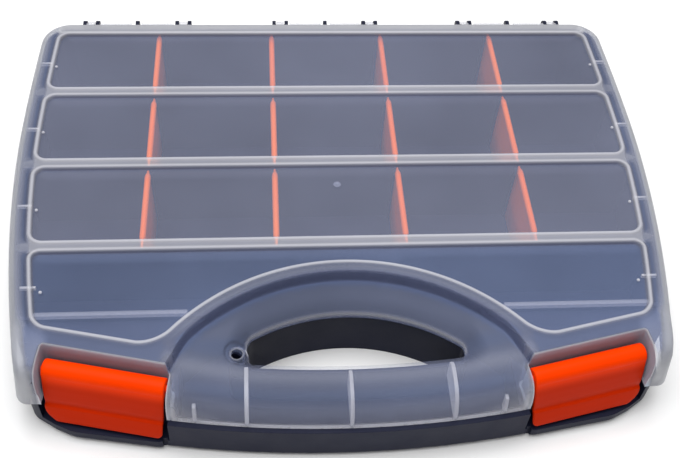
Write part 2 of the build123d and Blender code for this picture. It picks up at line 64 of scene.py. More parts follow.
CHEEK_IN, CHEEK_OUT, TILT, RECESS_BACK = (96.6, -135.9), (163.2, -121.2), math.radians(8.0), 7.3
RECESS_R = 1.7
HINGE_X, HINGE_Y, HINGE_Z = (-130.9, 0.0, 130.9), 151.35, 47.0
DIV_X = (-115.1, -38.0, 38.0, 115.1)


# ------------------------------------------------------------------ plan shapes
# Each function gives a signed distance in mm: negative inside the shape it names.
def rmax(a, b, r):
    p, q = np.maximum(a + r, 0), np.maximum(b + r, 0)
    return np.hypot(p, q) - r + np.minimum(np.maximum(a + r, b + r), 0)


def smin(a, b, k):
    h = np.maximum(k - np.abs(a - b), 0) / k
    return np.minimum(a, b) - h * h * k / 4


def smax(a, b, k):
    return -smin(-a, -b, k)


def ramp01(a, b, t):
    t = np.clip((t - a) / (b - a), 0, 1)
    return t * t * (3 - 2 * t)


def side(x, y):
    ax = np.abs(x)
    f = np.hypot(ax - (HALF_W - SIDE_R), y - SIDE_Y) - SIDE_R
    g = np.hypot(ax - (HALF_W - REAR_R), y - SIDE_Y) - REAR_R
    return np.where(y < SIDE_Y, f, g)


def vv(x, y):
    return (np.abs(x) - LATCH[0]) * VX + (y - LATCH[1]) * VY


def uu(x, y):
    return (np.abs(x) - LATCH[0]) * UX + (y - LATCH[1]) * UY


def outline(x, y):
    return rmax(rmax(side(x, y), y - BACK_Y, BACK_R), vv(x, y) - V_FRONT, 4.4)


def lip(x, y):
    # negative behind the handle's front edge
    return np.hypot(x, y - (LIP_Y + LIP_R)) - LIP_R


TX, TY = math.sin(TILT), -math.cos(TILT)      # along a cheek, forward
NX, NY = math.cos(TILT), math.sin(TILT)       # away from the middle of the box


def recess(x, y):
    # negative inside the latch's recess
    ax = np.abs(x)
    a = -RECESS_BACK - vv(x, y)
    b = -((ax - CHEEK_IN[0]) * NX + (y - CHEEK_IN[1]) * NY)
    c = (ax - CHEEK_OUT[0]) * NX + (y - CHEEK_OUT[1]) * NY
    return rmax(a, np.maximum(b, c), RECESS_R)


def hole(x, y):
    r = np.hypot(x - ARCH[0], y - ARCH[1]) - HOLE_R
    g = np.hypot(x, y - (GRIP_Y + GRIP_R)) - GRIP_R
    rl = np.where(y > -112, 3.2, 6.2)
    rr = np.where(y > -112, 1.3, 2.8)
    k = np.where(x < 5, rl, rr)
    return rmax(np.maximum(r, g), np.maximum(x - HOLE_X1, HOLE_X0 - x), k)


def ring(x, y):
    return np.hypot(x - RING[0], y - RING[1])


def step_r(x, y):
    return np.hypot(x - ARCH[0], y - ARCH[1]) + 5.0 * ramp01(85, 99.5, np.abs(x))


def step_line(level):
    a = np.linspace(math.radians(28), math.radians(152), 140)
    r = np.full_like(a, level)
    for _ in range(12):
        r = level - 5.0 * ramp01(85, 99.5, np.abs(r * np.cos(a)))
    return np.stack([r * np.cos(a), ARCH[1] + r * np.sin(a)], 1)


def dish(x, y):
    return np.hypot(x + 58.9, y + 115.2)


def window(i):
    if i < 3:
        y0, y1 = ((80.2, 135.2), (17.1, 74.7), (-46.6, 11.6))[i]
        def f(x, y):
            return rmax(side(x, y) + WIN_INSET, np.maximum(y - y1, y0 - y), 7.0)
    else:
        def f(x, y):
            arch = ARCH_R - np.hypot(x - ARCH[0], y - ARCH[1])
            s = np.maximum(rmax(vv(x, y) + 17.0, arch, 11.0), y + 52.1)
            return rmax(s, side(x, y) + WIN_INSET, 6.5)
    return f


WINDOWS = [window(i) for i in range(4)]


def low_edge(y):
    t = np.clip((y - LOW_Y0) / (LOW_Y1 - LOW_Y0), 0, 1)
    return Z_LOW + (Z_LOW_BACK - Z_LOW) * t


def drop(d, r):
    # how far a rounded edge of radius r lies below its face, d from its border
    d = np.clip(d, 0, r)
    return r - np.sqrt(np.maximum(r * r - (r - d) ** 2, 0))


def top_face(x, y):
    """Height of the lid's outside without the raised lines and windows."""
    ax = np.abs(x)
    v = vv(x, y)
    d = -outline(x, y)
    # the front corners roll down to the lower edge
    k = np.clip((V_FRONT - v) / 26.5, 0, 1)
    roll = Z_LOW + 29.8 * np.maximum(1 - (1 - k) ** 5.0, 0) ** (1 / 5.0)
    top = smin(roll, np.full_like(roll, Z_TOP + 0.35), 1.4)
    top = np.minimum(top, Z_TOP)
    r_edge = np.where(v > -20, TOP_R - 2.0 * ramp01(-16, 2, v), TOP_R)
    plate = top - drop(d, r_edge)
    # the handle
    r = np.hypot(x - ARCH[0], y - ARCH[1])
    pad = 43.6 + 3.2 * ramp01(48, 92, ax)
    slope = 48.4 - 0.72 * (RISER_R - r)
    h = smax(pad, slope, 3.0)
    s = hole(x, y)
    bevel = HOLE_Z + s * 1.02
    h = smin(h, bevel, 4.0)
    h = h - drop(s, 0.9) * 0.8
    # shallow dish with a raised ring round the small hole
    h = h - 1.5 * (1 - ramp01(7.7, 9.1, dish(x, y)))
    q = ring(x, y)
    h = np.maximum(h, np.where(q < 6.2, 43.8 - 3.4 * ramp01(4.3, 5.6, q) - 0.5 * (1 - ramp01(3.2, 3.9, q)), -99))
    # front of the handle
    dl = -lip(x, y)
    a = 15.0 - 3.0 * ramp01(70, 97, ax)
    n = 2.25 + 0.5 * ramp01(60, 97, ax)
    w = np.clip(1 - dl / a, 0, 1)
    f = np.maximum(1 - w ** n, 0) ** (1 / n)
    front = Z_LOW + (h - Z_LOW) * f
    h = np.where(y < -118, front, h)
    # step between the two
    t = np.clip((120.4 - step_r(x, y)) / 2.3, 0, 1)
    t = t * t * (3 - 2 * t)
    z = plate + (h - plate) * np.where(y > -130, t, np.where(ax < 110, 1.0, 0.0))
    # edges along the latch recess
    z = z - drop(recess(x, y), 0.8) * np.where(v > 9, 0.5, 1.0)
    return np.maximum(z, low_edge(y))


def top_guard(x, y):
    """top_face, with nothing outside the plan, for the inner side."""
    z = top_face(x, y)
    bad = (outline(x, y) > 0) | (recess(x, y) < 0) | ((lip(x, y) > 0) & (np.abs(x) < 98.5))
    q = ring(x, y)
    z = np.where(q < RING_R, 43.0, z)
    return np.where(bad, low_edge(y), z)


def inner_face(x, y, t=WALL):
    z = top_guard(x, y) - t
    for rho, n in ((0.6, 8), (1.15, 12), (1.6, 16), (1.92, 18)):
        dz = math.sqrt(t * t - rho * rho)
        for i in range(n):
            a = 2 * math.pi * i / n
            z = np.minimum(z, top_guard(x + rho * math.cos(a), y + rho * math.sin(a)) - dz)
    return z


# ------------------------------------------------------------------ contours
def grad(f, x, y, h=2e-3):
    return (f(x + h, y) - f(x - h, y)) / (2 * h), (f(x, y + h) - f(x, y - h)) / (2 * h)


def settle(f, p, level, steps=8):
    p = p.copy()
    for _ in range(steps):
        v = f(p[:, 0], p[:, 1]) - level
        gx, gy = grad(f, p[:, 0], p[:, 1])
        k = v / (gx * gx + gy * gy + 1e-9)
        p[:, 0] -= np.clip(k * gx, -1, 1)
        p[:, 1] -= np.clip(k * gy, -1, 1)
    return p


def trace(f, start, coarse=3.0, fine=0.8):
    """A closed line of points where f is 0, denser where it bends."""
    p = settle(f, np.array([start], float), 0.0, 30)[0]
    first, out, last = p.copy(), [], None
    step = fine
    for n in range(6000):
        gx, gy = grad(f, np.array([p[0]]), np.array([p[1]]))
        g = np.array([gx[0], gy[0]])
        g /= np.linalg.norm(g)
        t = np.array([-g[1], g[0]])
        if last is not None:
            bend = abs(math.atan2(last[0] * t[1] - last[1] * t[0], last @ t))
            step = fine if bend > 0.02 * step else min(step * 1.35, coarse)
        ahead = settle(f, np.array([p + t * min(coarse, step * 2.2)]), 0.0, 3)[0]
        gx, gy = grad(f, np.array([ahead[0]]), np.array([ahead[1]]))
        g2 = np.array([gx[0], gy[0]])
        g2 /= np.linalg.norm(g2)
        if abs(g[0] * g2[1] - g[1] * g2[0]) > 0.08:
            step = fine
        out.append(p.copy())
        last = t
        p = settle(f, np.array([p + t * step]), 0.0, 3)[0]
        if n > 8 and np.linalg.norm(p - first) < step * 0.8:
            break
    return np.array(out)


def march(f, base, levels):
    """The line base moved to each level of f in turn."""
    got, p, at = {}, base, 0.0
    for level in levels:
        n = max(1, int(math.ceil(abs(level - at) / 0.6)))
        for i in range(n):
            a = at + (level - at) * (i + 1) / n
            gx, gy = grad(f, p[:, 0], p[:, 1])
            m = np.hypot(gx, gy) + 1e-9
            d = (a - (at + (level - at) * i / n)) / m
            p = settle(f, p + np.stack([gx / m * d, gy / m * d], 1), a, 4)
        at = level
        got[level] = p
    return got


def arc(c, r, a0, a1, step):
    n = max(2, int(abs(a1 - a0) * r / step) + 1)
    a = np.linspace(a0, a1, n)
    return np.stack([c[0] + r * np.cos(a), c[1] + r * np.sin(a)], 1)


# ------------------------------------------------------------------ the lid
BEAD_AT = [-2.0, -1.65, -1.4, -1.1, -0.6, 0.0, 0.6, 1.05, 1.35, 1.55, 1.75, 2.1]
BEAD_UP = [0.0, 0.05, 0.16, 0.40, 0.63, 0.70, 0.62, 0.34, -0.35, -1.25, -1.78, -2.0]


def near_line(p, line, reach):
    """Distance from each point to a closed line, where it is under reach, else reach."""
    a, b = line, np.roll(line, -1, 0)
    out = np.full(len(p), float(reach))
    tree = KDTree(len(line))
    for i, q in enumerate(line):
        tree.insert((q[0], q[1], 0), i)
    tree.balance()
    n = len(line)
    for i, q in enumerate(p):
        _, j, d = tree.find((q[0], q[1], 0))
        if d > reach + 2.5:
            continue
        best = d
        for k in (j - 1, j):
            s, e = line[k % n], line[(k + 1) % n]
            ex, ey = e[0] - s[0], e[1] - s[1]
            t = ((q[0] - s[0]) * ex + (q[1] - s[1]) * ey) / (ex * ex + ey * ey + 1e-12)
            t = min(1.0, max(0.0, t))
            best = min(best, math.hypot(q[0] - s[0] - t * ex, q[1] - s[1] - t * ey))
        out[i] = best
    return np.minimum(out, reach)


def build_lid():
    lines = []          # (points, closed)
    out0 = trace(outline, (HALF_W, 50.0), 4.0, 1.0)
    insets = [0.12, 0.45, 1.0, 1.6, 2.0, 2.7, 3.5, 4.5]
    lev = march(outline, out0, [-d for d in insets])
    lines.append((out0, True))
    for d in insets:
        lines.append((lev[-d], True))
    # the front edge of the handle
    c = (0.0, LIP_Y + LIP_R)
    for d in (0.0, 0.05, 0.2, 0.5, 1.0, 1.5, 2.0, 2.8, 3.8, 5.0, 6.5, 8.3, 10.4, 12.8, 15.2):
        half = math.asin(100.5 / (LIP_R - d))
        lines.append((arc(c, LIP_R - d, -math.pi / 2 - half, -math.pi / 2 + half, 2.0), False))
    # latch recesses, and lines beside their edges
    for d in (0.0, 0.08, 0.25, 0.5, 0.8, 1.1, 2.0):
        rr = RECESS_R + d
        # corner centres, d outside the recess walls
        def meet(p0, n_sign):
            # a line parallel to a cheek, rr inside the offset wall, cut with v = -RECESS_BACK + 3
            q = (p0[0] + n_sign * RECESS_R * NX, p0[1] + n_sign * RECESS_R * NY)
            v0 = (q[0] - LATCH[0]) * VX + (q[1] - LATCH[1]) * VY
            k = (-RECESS_BACK + RECESS_R - v0) / (TX * VX + TY * VY)
            return (q[0] + k * TX, q[1] + k * TY)
        ci, co = meet(CHEEK_IN, 1), meet(CHEEK_OUT, -1)
        pts = []
        for k in np.linspace(34, 0, 24):
            pts.append((ci[0] - rr * NX + k * TX, ci[1] - rr * NY + k * TY))
        a0 = math.atan2(-NY, -NX)
        a1 = math.atan2(-VY, -VX)
        while a1 > a0:
            a1 -= 2 * math.pi
        for a in np.linspace(a0, a1, 7)[1:]:
            pts.append((ci[0] + rr * math.cos(a), ci[1] + rr * math.sin(a)))
        span = math.hypot(co[0] - ci[0], co[1] - ci[1])
        for k in np.linspace(0, 1, int(span / 2.0))[1:]:
            pts.append((ci[0] - rr * VX + k * (co[0] - ci[0]), ci[1] - rr * VY + k * (co[1] - ci[1])))
        b0 = math.atan2(-VY, -VX)
        b1 = math.atan2(NY, NX)
        while b1 > b0:
            b1 -= 2 * math.pi
        for a in np.linspace(b0, b1, 7)[1:]:
            pts.append((co[0] + rr * math.cos(a), co[1] + rr * math.sin(a)))
        for k in np.linspace(0, 34, 24)[1:]:
            pts.append((co[0] + rr * NX + k * TX, co[1] + rr * NY + k * TY))
        pts = np.array(pts)
        # exactly on the level of the recess function
        pts = settle(recess, pts, d, 6)
        lines.append((pts, False))
        lines.append((pts * np.array([-1, 1]), False))
    # lines across the rolled front corners
    for t in (0.03, 0.12, 0.3, 0.6, 1.0, 1.6, 2.4, 3.4, 4.7, 6.3, 8.3, 10.8, 13.8, 17.4, 21.5, 26.0):
        v = V_FRONT - t
        u = np.arange(25, 52, 1.6)
        p = np.stack([LATCH[0] + u * UX + v * VX, LATCH[1] + u * UY + v * VY], 1)
        p = p[(outline(p[:, 0], p[:, 1]) < 0.8)]
        lines.append((p, False))
        lines.append((p * np.array([-1, 1]), False))
    # step round the handle
    for r in (120.4, 120.1, 119.85, 119.6, 119.4, 119.2, 119.0, 118.75, 118.45, 118.1, 117.2):
        lines.append((step_line(r), False))
    # the opening
    h0 = trace(hole, (0.0, GRIP_Y), 2.0, 0.6)
    hs = [0.08, 0.3, 0.6, 0.95, 1.7, 2.6, 3.6, 4.8, 6.2, 7.8]
    hl = march(hole, h0, hs)
    lines.append((h0, True))
    for d in hs:
        lines.append((hl[d], True))
    for r in (RING_R, 3.4, 3.7, 4.1, 4.5, 4.75, RING_OUT, 5.25, 5.6, 6.2):
        lines.append((arc(RING, r, 0, 2 * math.pi * 47 / 48, 2 * math.pi * r / 48), True))
    for r in (7.6, 8.0, 8.4, 8.8, 9.2):
        lines.append((arc((-58.9, -115.2), r, math.radians(60), math.radians(290), 1.1), False))
    # raised lines round the windows
    starts = ((0, 80.2), (0, 17.1), (0, -46.6), (0, -52.1))
    mids = []
    offs = [-3.4, -2.3] + BEAD_AT
    for f, s in zip(WINDOWS, starts):
        base = trace(f, s, 4.0, 0.9)
        mids.append(base)
        gx, gy = grad(f, base[:, 0], base[:, 1])
        m = np.hypot(gx, gy)
        nrm = np.stack([gx / m, gy / m], 1)
        for o in offs:
            lines.append((base - nrm * o, True))
    # collect
    pts, cons = [], []
    for p, closed in lines:
        keep_from = len(pts)
        # leave out points well outside the plan
        x, y = p[:, 0], p[:, 1]
        far = (outline(x, y) > 1.2) | (recess(x, y) < -1.5) | ((lip(x, y) > 1.5) & (np.abs(x) < 95)) | (hole(x, y) < -1.0)
        idx = [-1] * len(p)
        for i in range(len(p)):
            if not far[i]:
                idx[i] = len(pts)
                pts.append((x[i], y[i]))
        n = len(p)
        for i in range(n if closed else n - 1):
            a, b = idx[i], idx[(i + 1) % n]
            if a >= 0 and b >= 0 and a != b:
                cons.append((a, b))
    ring_pts = np.array(pts)
    tree = KDTree(len(pts))
    for i, q in enumerate(pts):
        tree.insert((q[0], q[1], 0), i)
    tree.balance()
    extra = []

    def fill(x0, x1, y0, y1, step, test, clear):
        row = 0
        y = y0
        while y <= y1:
            xs = np.arange(x0 + (step / 2 if row % 2 else 0), x1, step)
            ys = np.full_like(xs, y)
            ok = test(xs, ys)
            for x in xs[ok]:
                if tree.find((x, y, 0))[2] > clear:
                    extra.append((x, y))
            y += step * 0.87
            row += 1

    fill(-100, 100, -153, -70, 1.9, lambda x, y: (np.hypot(x, y - ARCH[1]) < 117.6) & (recess(x, y) > 1) & (lip(x, y) < -1) & (hole(x, y) > 0.5), 0.95)
    fill(-190, 190, -140, 142, 9.0, lambda x, y: (np.hypot(x, y - ARCH[1]) > 121.5) & (recess(x, y) > 3) & (outline(x, y) < -5), 3.0)
    fill(-186, 186, -135, -95, 3.0, lambda x, y: (np.hypot(x, y - ARCH[1]) > 121.5) & (recess(x, y) > 2.5) & (outline(x, y) < -4.8) & (vv(x, y) > -16), 1.4)
    allp = pts + extra
    v2, _, tris, *_ = delaunay_2d_cdt([Vector(p) for p in allp], cons, [], 0, 1e-5)
    V = np.array([(v.x, v.y) for v in v2])
    T = np.array([t for t in tris if len(t) == 3])
    cx, cy = V[T][:, :, 0].mean(1), V[T][:, :, 1].mean(1)
    inside = (outline(cx, cy) < 0) & (recess(cx, cy) > 0) & ~((lip(cx, cy) > 0) & (np.abs(cx) < 99.0)) & (hole(cx, cy) > 0) & (ring(cx, cy) > RING_R * 0.995)
    area = (V[T[:, 1], 0] - V[T[:, 0], 0]) * (V[T[:, 2], 1] - V[T[:, 0], 1]) - (V[T[:, 1], 1] - V[T[:, 0], 1]) * (V[T[:, 2], 0] - V[T[:, 0], 0])
    T[area < 0] = T[area < 0][:, ::-1]
    T = T[inside & (np.abs(area) > 1e-7)]
    x, y = V[:, 0], V[:, 1]
    # signed distance from the windows' lines, positive inside a window
    dw = np.full(len(V), -9.0)
    for f, base in zip(WINDOWS, mids):
        s = -f(x, y)
        close = np.abs(s) < 5.0
        got = s.copy()
        dist = near_line(V[close], base, 8.0)
        got[close] = np.sign(s[close]) * dist
        dw = np.maximum(dw, got)
    top = top_face(x, y)
    H = top + np.interp(dw, BEAD_AT, BEAD_UP)
    E0 = inner_face(x, y)
    E = E0 - 1.8 * ramp01(-3.4, -2.3, dw)
    E = np.minimum(E, H - 1.2)
    low = low_edge(y)
    E = np.maximum(E, low)
    cx, cy = V[T][:, :, 0].mean(1), V[T][:, :, 1].mean(1)
    deep = (outline(cx, cy) < -WALL) & (recess(cx, cy) > WALL) & ~((lip(cx, cy) > -WALL) & (np.abs(cx) < 99.0))
    ti, tr = T[deep], T[~deep]
    n = len(V)
    # vertex blocks: outside, inside, lower rim
    # and a line just below the edge of each recess
    P = np.concatenate([np.stack([x, y, H], 1), np.stack([x, y, E], 1), np.stack([x, y, low], 1), np.stack([x, y, np.maximum(H - 0.75, low + 0.3)], 1)])
    on_rec = np.abs(recess(x, y)) < 0.03
    # towards the front corners the side walls lean out a little
    gx, gy = grad(side, x, y)
    lean = 3.6 * ramp01(-15.0, -110.0, y) * ramp01(-9.0, -2.4, side(x, y))
    k = np.clip((52.0 - P[:, 2]) / 26.0, 0, 1)
    P[:, 0] += np.tile(gx * lean, 4) * k
    P[:, 1] += np.tile(gy * lean, 4) * k
    faces = [tuple(t) for t in T]
    faces += [(t[0] + n, t[2] + n, t[1] + n) for t in ti]
    faces += [(t[0] + 2 * n, t[2] + 2 * n, t[1] + 2 * n) for t in tr]

    def border(tri):
        seen = {}
        for t in tri:
            for a, b in ((t[0], t[1]), (t[1], t[2]), (t[2], t[0])):
                if (b, a) in seen:
                    del seen[(b, a)]
                else:
                    seen[(a, b)] = True
        return list(seen)

    hv = (np.abs(hole(x, y)) < 0.02) | (ring(x, y) < RING_R + 0.02)
    for a, b in border(T):
        if hv[a] and hv[b]:
            faces.append((b, a, a + n, b + n))
        elif on_rec[a] and on_rec[b]:
            faces.append((b, a, a + 3 * n, b + 3 * n))
            faces.append((b + 3 * n, a + 3 * n, a + 2 * n, b + 2 * n))
        else:
            f = [b, a] + ([a + 3 * n] if on_rec[a] else []) + [a + 2 * n, b + 2 * n] + ([b + 3 * n] if on_rec[b] else [])
            faces.append(tuple(f))
    for a, b in border(ti):
        if hv[a] and hv[b]:
            continue
        # the inside wall runs down to the lower rim
        faces.append((a + 2 * n, a + n, b + n, b + 2 * n))
    # how milky each place looks: thick or edge-on material scatters more light; the band over the handle's front
    # shoulder is painted light, lighter where the top faces the lamp overhead
    r = np.hypot(x - ARCH[0], y - ARCH[1])
    inside_w = ramp01(0.6, 2.0, dw)
    bead = np.exp(-(dw / 1.1) ** 2)
    edge = ramp01(6.6, 3.6, -outline(x, y))
    rec = np.clip(1 - recess(x, y) / 0.9, 0, 1)
    rim_h = (1 - np.clip(hole(x, y) / 1.5, 0, 1)) * ramp01(-119.0, -113.0, y)
    rim_r = 1 - np.clip((ring(x, y) - RING_R) / 1.2, 0, 1)
    arch_band = np.exp(-((r - 122.4) / 2.0) ** 2) * ramp01(102, 84, np.abs(x)) * (y > -150)
    slope_z = ramp01(119.0, 116.0, r) * ramp01(-112.0, -104.0, y) * ramp01(103.5, 107.0, r)
    r = step_r(x, y)
    dark_step = np.exp(-((r - 118.6) / 1.5) ** 2) * (np.abs(x) < 101)
    in_handle = ramp01(119.5, 117.0, r) * (np.abs(x) < 99)
    lipd = -lip(x, y)
    low_lip = (1 - np.clip(lipd / 1.2, 0, 1)) * (np.abs(x) < 99)
    low_band = np.exp(-((lipd - 3.5) / 2.6) ** 2) * (np.abs(x) < 99)
    # painted light: a lighter band where the handle's top rounds over to the front
    painted_shoulder_light = np.exp(-((lipd - 22.0) / 6.0) ** 2) * (np.abs(x) < 99)
    deep_in = ramp01(-9.0, -12.5, side(x, y))
    strip = deep_in * (y > -54) * (y < 137)
    back_ = deep_in * ramp01(134.5, 136.5, y)
    cheek = np.exp(-np.clip(recess(x, y) - 0.4, 0, 99) / 3.6) * (np.abs(x) < 106) * ramp01(-126.5, -131.0, y)
    rear_w = inside_w * (y > -50)
    milk_top = (0.035 + 0.36 * strip + 0.36 * back_) * (1 - inside_w) + 0.07 * rear_w
    milk_top = milk_top + 0.72 * bead * (1 - 0.5 * strip) + 0.16 * edge + 0.75 * rec + 0.45 * rim_h + 0.35 * rim_r
    milk_top = milk_top + 0.16 * arch_band - 0.12 * dark_step + 0.04 * low_lip + 0.17 * painted_shoulder_light + 0.11 * low_band + 0.03 * slope_z + 0.22 * cheek
    milk_top = np.clip(milk_top, 0, 1)
    milk_in = 0.07 * rear_w
    near_rec = recess(x, y) < 2.4
    milk = np.concatenate([milk_top, milk_in, np.where(near_rec, np.where(recess(x, y) > 1.2, 0.05, 0.46), 0.55), np.full(n, 0.56)])

    # greyer side walls; the deep blue on steep walls is partly the plastic's deeper colour seen edge-on and partly
    # painted shade from the dark inside
    rim = ramp01(-6.6, -3.2, outline(x, y)) * (recess(x, y) > 1.5) * ((np.abs(x) > 99) | (y > -100))
    # the leaning walls at the front corners are the least clear of all
    corner = ramp01(-84.0, -108.0, y) * ramp01(-9.0, -5.0, side(x, y)) * (recess(x, y) > 1.5)
    behind = ramp01(-98.0, -118.0, y) * ramp01(-20.0, -14.0, side(x, y)) * (np.abs(x) > 150) * (recess(x, y) > 1.0)
    corner = np.maximum(corner, 0.35 * behind)
    dusk = np.concatenate([np.maximum(np.maximum(rim, 1.5 * corner), 0.55 * back_ * (1 - inside_w)), 0.9 * corner,
                           np.where(outline(x, y) > -2.5, 1.0, 0.2) + 0.3 * corner, 0 * x])
    wall_w = np.exp(-((dw - 1.75) / 0.55) ** 2)
    rear = np.zeros(n)
    for y1 in (135.2, 74.7, 11.6, -52.1):
        rear = np.maximum(rear, ramp01(y1 - 3.2, y1 - 1.2, y) * (y < y1 + 0.5))
    r = np.hypot(x - ARCH[0], y - ARCH[1])
    r = step_r(x, y)
    riser = np.exp(-((r - 118.9) / 1.5) ** 2) * (np.abs(x) < 99) * (y > -131)
    # partly painted shade: dark navy on the windows' rear walls, the handle's riser and behind the front corners
    edge_tint_and_shade = np.clip(0.8 * wall_w * rear + 0.75 * riser + 0.25 * behind * (1 - edge), 0, 1)
    edge_tint_and_shade = np.concatenate([edge_tint_and_shade, 0 * x, 0 * x, 0 * x])

    # shading directions straight from the shape, so that the facets do not show
    def slopes(f, h):
        gx = (f(x + h, y) - f(x - h, y)) / (2 * h)
        gy = (f(x, y + h) - f(x, y - h)) / (2 * h)
        m = np.sqrt(gx * gx + gy * gy + 1)
        return np.stack([-gx / m, -gy / m, 1 / m], 1)
    out_n = slopes(top_face, 0.1)
    out_n[(np.abs(dw) < 2.25)] = 0
    in_n = -slopes(inner_face, 0.35)
    in_n[(np.abs(in_n[:, 2]) < 0.35) | (np.abs(E - E0 + 1.8 * (dw > -2.3)) > 1e-6) | ((dw > -3.5) & (dw < -2.2))] = 0
    zero = np.zeros((2 * n, 3))
    cool = np.concatenate([0.05 * rec, 0 * x, 0.55 * (near_rec & (recess(x, y) < 1.3)), 0.35 * (near_rec & (recess(x, y) < 1.3))])
    shade = {"dusk": dusk, "edge_tint_and_shade": edge_tint_and_shade, "cool": cool, "side": np.concatenate([np.full(n, 1.0), np.full(n, 2.0), np.zeros(2 * n)])}
    for k, nm in enumerate(("nx", "ny", "nz")):
        shade[nm] = np.concatenate([out_n[:, k], in_n[:, k], zero[:, k]])
    return P, faces, milk, shade


def mesh_object(name, P, faces, attrs=None, merge=2e-7):
    me = bpy.data.meshes.new(name)
    me.from_pydata([tuple(p * MM) for p in np.asarray(P, float)], [], [tuple(int(i) for i in f) for f in faces])
    if attrs:
        for k, v in attrs.items():
            at = me.attributes.new(k, "FLOAT", "POINT")
            at.data.foreach_set("value", np.asarray(v, np.float32))
    bm = bmesh.new()
    bm.from_mesh(me)
    loose = [v for v in bm.verts if not v.link_faces]
    bmesh.ops.delete(bm, geom=loose, context="VERTS")
    if merge:
        bmesh.ops.remove_doubles(bm, verts=bm.verts, dist=merge)
        bmesh.ops.dissolve_degenerate(bm, edges=bm.edges, dist=merge)
    bm.normal_update()
    bm.to_mesh(me)
    bm.free()
    ob = bpy.data.objects.new(name, me)
    bpy.context.scene.collection.objects.link(ob)
    return ob


def smooth(ob, angle=38):
    me = ob.data
    for p in me.polygons:
        p.use_smooth = True
    me.set_sharp_from_angle(angle=math.radians(angle))
    return ob


P, F, milk, shade = build_lid()
lid = mesh_object("lid_shell", P, F, {"milk": milk, **shade})
smooth(lid, 40)


def shape_normals(ob):
    me = ob.data
    got = {}
    for k in ("side", "nx", "ny", "nz"):
        a = np.zeros(len(me.vertices), np.float32)
        me.attributes[k].data.foreach_get("value", a)
        got[k] = a
    vi = np.zeros(len(me.loops), np.int32)
    me.loops.foreach_get("vertex_index", vi)
    ls = np.zeros(len(me.polygons), np.int32)
    lt = np.zeros(len(me.polygons), np.int32)
    me.polygons.foreach_get("loop_start", ls)
    me.polygons.foreach_get("loop_total", lt)
    fl = got["side"][vi]
    one = (np.minimum.reduceat(fl, ls) == np.maximum.reduceat(fl, ls)) & (np.minimum.reduceat(fl, ls) > 0.5)
    nv = np.stack([got["nx"], got["ny"], got["nz"]], 1)[vi]
    nv[~np.repeat(one, lt)] = 0
    me.normals_split_custom_set([tuple(float(c) for c in v) for v in nv])
    for k in got:
        me.attributes.remove(me.attributes[k])


shape_normals(lid)
nz = np.zeros(len(lid.data.vertices) * 3, np.float32)
lid.data.vertex_normals.foreach_get("vector", nz)
steep = 1 - np.abs(nz.reshape(-1, 3)[:, 2])
co_ = np.zeros(len(lid.data.vertices) * 3, np.float32)
lid.data.vertices.foreach_get("co", co_)
co_ = co_.reshape(-1, 3) / MM
val = np.zeros(len(lid.data.vertices), np.float32)
lid.data.attributes["milk"].data.foreach_get("value", val)
handle_zone = (np.hypot(co_[:, 0], co_[:, 1] - ARCH[1]) < 121.5) & (np.abs(co_[:, 0]) < 94)
by_recess = recess(co_[:, 0], co_[:, 1]) < 2.3
val = np.clip(val + 0.27 * steep ** 1.5 * np.where(handle_zone, 0.25, 1.0) * np.where(by_recess, 0.1, 1.0), 0, 1)
lid.data.attributes["milk"].data.foreach_set("value", val)
print("lid mesh", len(lid.data.vertices), len(lid.data.polygons))
bm = bmesh.new()
bm.from_mesh(lid.data)
print("open edges", sum(1 for e in bm.edges if len(e.link_faces) != 2), "volume cm3", round(bm.calc_volume() * 1e6, 1))
bm.free()


# ------------------------------------------------------------------ swept pieces
def close_ring(p):
    p = np.asarray(p, float)
    if np.linalg.norm(p[0] - p[-1]) < 1e-6:
        p = p[:-1]
    return p


def ccw(p):
    x, y = p[:, 0], p[:, 1]
    a = np.sum(x * np.roll(y, -1) - np.roll(x, -1) * y)
    return p if a > 0 else p[::-1]


def chaikin(p, times=2, keep=0.25):
    for _ in range(times):
        q = np.roll(p, -1, 0)
        p = np.stack([p * (1 - keep) + q * keep, p * keep + q * (1 - keep)], 1).reshape(-1, 2)
    return p


def shrink(p, d):
    """Each point moved inwards by d along the mean of its two sides."""
    a, b = p - np.roll(p, 1, 0), np.roll(p, -1, 0) - p
    a /= np.linalg.norm(a, axis=1)[:, None] + 1e-12
    b /= np.linalg.norm(b, axis=1)[:, None] + 1e-12
    na, nb = np.stack([-a[:, 1], a[:, 0]], 1), np.stack([-b[:, 1], b[:, 0]], 1)
    m = na + nb
    m /= np.maximum((m * m).sum(1) / 2, 0.7)[:, None]
    return p + m * d


def sweep(profile, left, right, r, inner=5):
    """A bar along its first coordinate with the closed profile (second, third).
    left and right give its ends as functions of the profile points; r rounds the ends."""
    p = ccw(close_ring(profile))
    n = len(p)
    rows = []
    steps = [(0.0, 1.0), (0.08, 0.62), (0.3, 0.29), (0.6, 0.08), (1.0, 0.0)]
    for a, k in steps:
        q = shrink(p, r * k)
        rows.append(np.column_stack([left(p) + r * a, q]))
    for i in range(1, inner):
        t = i / inner
        rows.append(np.column_stack([(left(p) + r) * (1 - t) + (right(p) - r) * t, p]))
    for a, k in steps[::-1]:
        q = shrink(p, r * k)
        rows.append(np.column_stack([right(p) - r * a, q]))
    pts = np.concatenate(rows)
    faces = []
    for j in range(len(rows) - 1):
        for i in range(n):
            a, b = j * n + i, j * n + (i + 1) % n
            faces.append((a, b, b + n, a + n))
    from_cap = shrink(p, r)
    _, _, tri, *_ = delaunay_2d_cdt([Vector(q) for q in from_cap], [], [list(range(n))], 1, 1e-7)
    last = (len(rows) - 1) * n
    for t in tri:
        if len(t) == 3 and max(t) < n:
            faces.append((t[0], t[2], t[1]))
            faces.append((t[0] + last, t[1] + last, t[2] + last))
    return pts, faces


